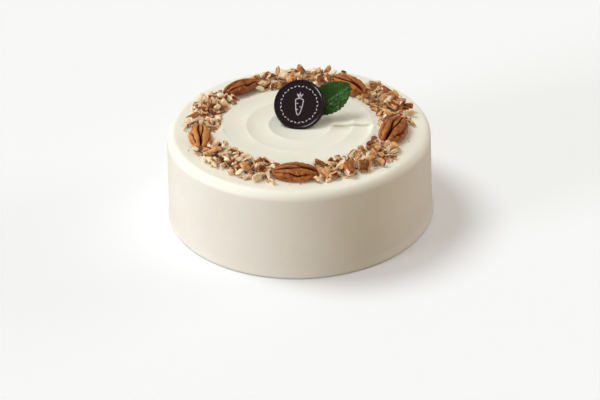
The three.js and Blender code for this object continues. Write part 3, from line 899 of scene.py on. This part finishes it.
# %% Turn the disc
def disc_points(columns=200):
    """The profile goes out along the face, round the front edge, down the rim with a slight draft, round the
    back edge and in along the back. The face lies FACE_DEPTH below its rim, with a slope between them that
    catches the light."""
    turn = np.linspace(np.pi / 2, 0, 9)
    step = np.linspace(DISC_RADIUS - 2.1, DISC_RADIUS - 1.2, 8)
    flat = np.concatenate([np.linspace(0.6, step[0] - 0.12, 18), step, [step[-1] + 0.1, step[-1] + 0.25]])
    rim = FACE_DEPTH * np.clip((flat - step[0]) / (step[-1] - step[0]), 0, 1)
    front = [DISC_RADIUS - DISC_EDGE * (1 - np.cos(turn)), -DISC_EDGE * (1 - np.sin(turn))]
    back = [front[0][::-1] - 0.25, -DISC_THICKNESS - front[1][::-1]]
    radius = np.concatenate([flat, front[0], back[0], flat[::-3]])
    out = np.concatenate([rim - FACE_DEPTH, front[1], back[1], np.full(len(flat[::-3]), -DISC_THICKNESS)])
    angle = np.linspace(2 * np.pi, 0, columns, endpoint=False)[None]
    return on_face(radius[:, None] * np.cos(angle), radius[:, None] * np.sin(angle), out[:, None] + 0 * angle)


disc = closed_grid("disc", disc_points())
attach(disc, "root")
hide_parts("chocolate_disc")
print("disc:", len(disc.data.polygons), "faces")

# %% [markdown]
# ### The print
#
# The face carries a print in pale cocoa butter. It is a carrot drawn in line, inside a wreath of small marks.
# Each stroke is a ribbon along a path: the path's points, moved to either side by half the stroke's width.

# %% Strokes
STROKE_HEIGHT = 0.06


def ribbon(across, up_face, width, closed=False):
    """A stroke as a closed solid: four corners at each point of the path, half the width to each side, from
    just under the face to STROKE_HEIGHT over it."""
    path = np.stack([across, up_face], axis=-1)
    if closed:
        ahead = np.roll(path, -1, axis=0) - np.roll(path, 1, axis=0)
    else:
        ahead = np.gradient(path, axis=0)
    ahead /= np.linalg.norm(ahead, axis=1, keepdims=True)
    aside = np.stack([-ahead[:, 1], ahead[:, 0]], axis=-1) * np.broadcast_to(width, len(path))[:, None] / 2
    left, right = path + aside, path - aside
    top, bottom = -FACE_DEPTH + STROKE_HEIGHT, -FACE_DEPTH - 0.15
    rows = np.stack([on_face(left[:, 0], left[:, 1], np.full(len(path), top)),
                     on_face(right[:, 0], right[:, 1], np.full(len(path), top)),
                     on_face(right[:, 0], right[:, 1], np.full(len(path), bottom)),
                     on_face(left[:, 0], left[:, 1], np.full(len(path), bottom))], axis=1)
    quads = grid_quads(len(path) + (1 if closed else 0), 4, wrap=True) % (4 * len(path))
    if not closed:
        quads = np.concatenate([quads, [[3, 2, 1, 0]], [[4 * len(path) - 4 + k for k in range(4)]]])
    return rows.reshape(-1, 3), quads


def carrot_strokes():
    """The outline is a carrot: half width w(s) = 3.1 * s^0.55 * (1.08 - 0.2 s) from its tip, s = 0, to its
    shoulder, s = 1, and back. Three fronds stand on the shoulder, and short dashes cross the root."""
    s = np.linspace(0, 1, 24)
    half = 3.1 * s ** 0.55 * (1.08 - 0.2 * s)
    down = -7.4 + 10.2 * s
    shoulder = np.linspace(0, np.pi, 12)[1:-1]
    wide = half[-1]
    x = np.concatenate([half, wide * np.cos(shoulder), -half[::-1][:-1]])
    y = np.concatenate([down, down[-1] + 1.3 * np.sin(shoulder), down[::-1][:-1]])
    strokes = [ribbon(x, y, 0.62, closed=True)]
    for lean, reach in ((-0.62, 3.4), (0.0, 4.4), (0.62, 3.4)):
        t = np.linspace(0, 1, 14)
        bend = lean * t * (0.55 + 0.75 * t)
        width = 0.25 + 1.1 * np.sin(np.pi * t ** 0.8)
        strokes.append(ribbon(reach * bend * 0.8, down[-1] + 1.2 + reach * t, width))
    for height, start, stop in ((0.6, -2.3, -0.6), (-1.6, 2.0, 0.5), (-3.6, -1.5, -0.3)):
        strokes.append(ribbon(np.linspace(start, stop, 5), height + 0.12 * np.linspace(-1, 1, 5) ** 2, 0.5))
    return strokes


def wreath_strokes(count=30, radius=12.6):
    """Short lens-shaped marks all round, slanted in and out in turn."""
    strokes = []
    for k in range(count):
        angle = 2 * np.pi * k / count
        slant = 0.5 if k % 2 else -0.5
        t = np.linspace(-1, 1, 9)
        along = 0.95 * t
        x = radius * np.cos(angle) + along * -np.sin(angle + slant)
        y = radius * np.sin(angle) + along * np.cos(angle + slant)
        strokes.append(ribbon(x, y, 0.08 + 0.62 * (1 - t * t)))
    return strokes


def join_strokes(name, strokes):
    starts = np.cumsum([0] + [len(points) for points, _ in strokes[:-1]])
    points = np.concatenate([points for points, _ in strokes])
    quads = np.concatenate([quads + start for (_, quads), start in zip(strokes, starts)])
    return make_mesh(name, points, quads)


disc_print = join_strokes("disc_print", carrot_strokes() + wreath_strokes())
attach(disc_print, "root")
print("print:", len(disc_print.data.polygons), "faces")


# %% [markdown]
# ### Chocolate
#
# Dark chocolate sets with a shine, but not a mirror's. A thin clear coat over a darker, rougher base gives
# that soft highlight. The print is matt and pale, with a hint of violet, because the dark shows through it.

# %% Chocolate finish
def chocolate_finish():
    finish = Finish("dark chocolate", Coat_Weight=0.3, Coat_Roughness=0.12, IOR=1.25)
    finish.feed(finish.patches((27, 10, 19), (19, 6, 15), 160.0), "Base Color")
    finish.grain(500.0, 0.00005, 4.0, 0.26, 0.36)
    return finish.material


def print_finish():
    finish = Finish("cocoa butter print", Roughness=0.6)
    finish.feed(finish.patches((214, 204, 216), (180, 168, 184), 700.0), "Base Color")
    return finish.material


disc.data.materials.append(chocolate_finish())
disc_print.data.materials.append(print_finish())

# %% [markdown]
# ## The leaf
#
# A mint leaf is thin and stiff. Its margin is cut into teeth that point to the tip, its blade folds a little
# along the midrib, and the blade between the side veins is quilted into small bumps. One function gives the
# blade's middle surface. The two faces are that surface moved out by half the thickness each way, so they
# never cross.

# %% The leaf's surface
LEAF_LENGTH, LEAF_HALF_WIDTH, LEAF_THICKNESS = 33.0, 10.8, 0.5
LEAF_FOLD, LEAF_DROOP = 0.14, 1.5
TEETH, TOOTH_DEPTH = 11, 0.9
STALK_BEHIND, STALK_SIDE, STALK_UP, STALK_ANGLE = 2.8, 7.4, -3.9, np.radians(42)


def leaf_surface(along, across):
    """A blade from 0 at the stalk to 1 at the tip and from -1 to 1 across: half width 10.8 sin(pi t)^0.62,
    less a sawtooth at the margin. Height = fold * (sqrt(y^2 + 0.09) - 0.3) - droop * t^2 + quilting between
    the side veins. Also returned is the vein mask, 1 on a vein."""
    body = np.clip(np.sin(np.pi * along), 0, None) ** 0.62
    phase = (along * TEETH) % 1
    small = (along * TEETH * 2 + 0.3) % 1
    tooth = TOOTH_DEPTH * (1 - phase ** 0.7) * smooth(1 - phase, 0, 0.15) + 0.18 * (1 - small)
    half = 0.4 + LEAF_HALF_WIDTH * body - tooth * np.abs(across) ** 8 * np.minimum(1, 4 * body)
    y = across * half
    ribs = along * 7.5 - np.abs(across) * body * 1.5 + 0.25 * np.sign(across)
    near_rib = np.abs((ribs + 0.5) % 1 - 0.5)
    side_vein = np.exp(-(near_rib / 0.07) ** 2)
    midrib = np.exp(-(y / 0.45) ** 2)
    lower = np.where(across < 0, 1.0, 0.35)
    quilt = 0.5 * lower * np.sin(np.pi * (ribs % 1)) ** 0.7 * smooth(np.abs(y), 0.2, 5.5) * body
    flat = np.stack([along * LEAF_LENGTH, y, 0 * y], axis=-1)
    puckers = 0.25 * lower * ripples(91, 16, 1.6, 2.8)(flat) * smooth(np.abs(y), 0.3, 2.0)
    height = ((np.hypot(y, 0.3) - 0.3) * LEAF_FOLD - LEAF_DROOP * along ** 2 + quilt + puckers - 0.05 * midrib
              + 0.5 * np.sin(5.5 * along + 0.5) * np.abs(across) ** 2)
    return np.stack([along * LEAF_LENGTH, y, height - 0.2], axis=-1), np.maximum(side_vein * 0.8, midrib)


def leaf_place(points):
    """From the leaf's own frame to the cake's: it lies along a slant up the back of the disc."""
    ahead = np.cos(STALK_ANGLE) * disc_side + np.sin(STALK_ANGLE) * disc_up
    aside = np.cross(disc_out, ahead)
    stalk = (face_middle - disc_out * (DISC_THICKNESS + STALK_BEHIND) + disc_side * STALK_SIDE
             + disc_up * STALK_UP)
    return stalk + points @ np.stack([ahead, aside, disc_out])


def make_leaf(rows=210, columns=120):
    """Both faces as grids, joined all round the margin. Each row of points runs across the upper face and
    back across the lower one, so a row is a closed ring and the ends close to a point."""
    along = np.linspace(0.004, 0.996, rows)[:, None]
    across = np.linspace(-1, 1, columns)[None]
    middle, veins = leaf_surface(*np.broadcast_arrays(along, across))
    thin = LEAF_THICKNESS / 2 * (0.35 + 0.65 * smooth(1 - np.abs(across), 0, 0.12))
    lift = np.broadcast_to(thin, middle.shape[:2])[..., None] * np.array([0, 0, 1])
    ring = np.concatenate([(middle + lift)[:, ::-1], middle - lift], axis=1)
    piece = closed_grid("mint_leaf", leaf_place(ring))
    set_attribute(piece, "vein", np.append(np.concatenate([veins[:, ::-1], veins], axis=1).ravel(), [1, 1]))
    return piece


leaf = make_leaf()
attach(leaf, "root")
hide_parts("leaf")
print("leaf:", len(leaf.data.polygons), "faces")


# %% Leaf finish
def leaf_finish():
    finish = Finish("mint leaf", Subsurface_Weight=0.1, Subsurface_Scale=0.001, IOR=1.3, Coat_Weight=0.12,
                    Coat_Roughness=0.22)
    tone = finish.patches((54, 97, 28), (32, 66, 13), 130.0)
    vein = finish.spread(finish.attribute("vein"), 0.2, 1.0, 0.0, 0.45)
    finish.feed(finish.mix(vein, tone, srgb(68, 108, 42)), "Base Color")
    finish.grain(1100.0, 0.00022, 3.0, 0.34, 0.5)
    return finish.material


leaf.data.materials.append(leaf_finish())

# %% [markdown]
# ## Floor and light
#
# The cake stands on a plain pale floor that fills the picture. Three broad soft lights shine on it, as
# windows do. The high one stands a little behind on the left and throws the nuts' shadows to the right. A low
# one on the left brightens that side of the wall, and a weaker low one on the right keeps the other side from
# going dark. Sun lamps with a wide angle do this evenly over the whole floor, and a warm even sky fills the
# shadows. The floor looks near white to the camera, but what bounces off it should be dim and warm, as off a
# kitchen table, or the wall would glow from below. Light Path tells the two apart: the floor has one colour
# for the camera and another for bounced light, and a trace of glow that only the camera sees.

# %% Floor
FLOOR_REACH = 6000.0


def floor_finish():
    finish = Finish("pale floor", Roughness=0.9, Emission_Strength=1.0, Specular_IOR_Level=0.1)
    seen = finish.add("ShaderNodeLightPath").outputs["Is Camera Ray"]
    finish.feed(finish.mix(seen, srgb(136, 109, 84), srgb(250, 252, 255)), "Base Color")
    finish.feed(finish.mix(seen, (0, 0, 0, 1), (0.035, 0.045, 0.07, 1)), "Emission Color")
    return finish.material


corner = np.array([[-1, -1], [1, -1], [1, 1], [-1, 1]]) * FLOOR_REACH
floor = make_mesh("floor", np.column_stack([corner, np.full(4, -0.05)]), np.array([[0, 1, 2, 3]]))
floor.data.materials.append(floor_finish())


# %% Lights
def add_sun(name, azimuth, elevation, spread, strength, colour):
    """A sun lamp that shines from an azimuth and elevation in degrees, and looks spread degrees wide."""
    a, e = np.radians([azimuth, elevation])
    away = np.array([np.cos(a) * np.cos(e), np.sin(a) * np.cos(e), np.sin(e)])
    data = bpy.data.lights.new(name, "SUN")
    data.angle = np.radians(spread)
    data.energy = strength
    data.color = colour
    light = bpy.data.objects.new(name, data)
    bpy.context.collection.objects.link(light)
    sideways = np.cross([0, 0, 1], away)
    sideways /= np.linalg.norm(sideways)
    light.matrix_world = standing([sideways, np.cross(away, sideways), away], away * 2)


add_sun("high left", 156, 56, 26, 1.46, (0.91, 0.97, 1.0))
add_sun("low left", 206, 6, 22, 2.18, (0.9, 0.91, 1.0))
add_sun("low right", 18, 8, 30, 0.92, (1.0, 0.90, 0.95))
world = bpy.data.worlds.new("sky")
bpy.context.scene.world = world
world.use_nodes = True
sky = world.node_tree.nodes["Background"]
sky.inputs["Color"].default_value = (1.0, 0.906, 0.725, 1)
sky.inputs["Strength"].default_value = 0.48
bpy.context.scene.view_settings.view_transform = "Standard"
print("lights and floor in place")
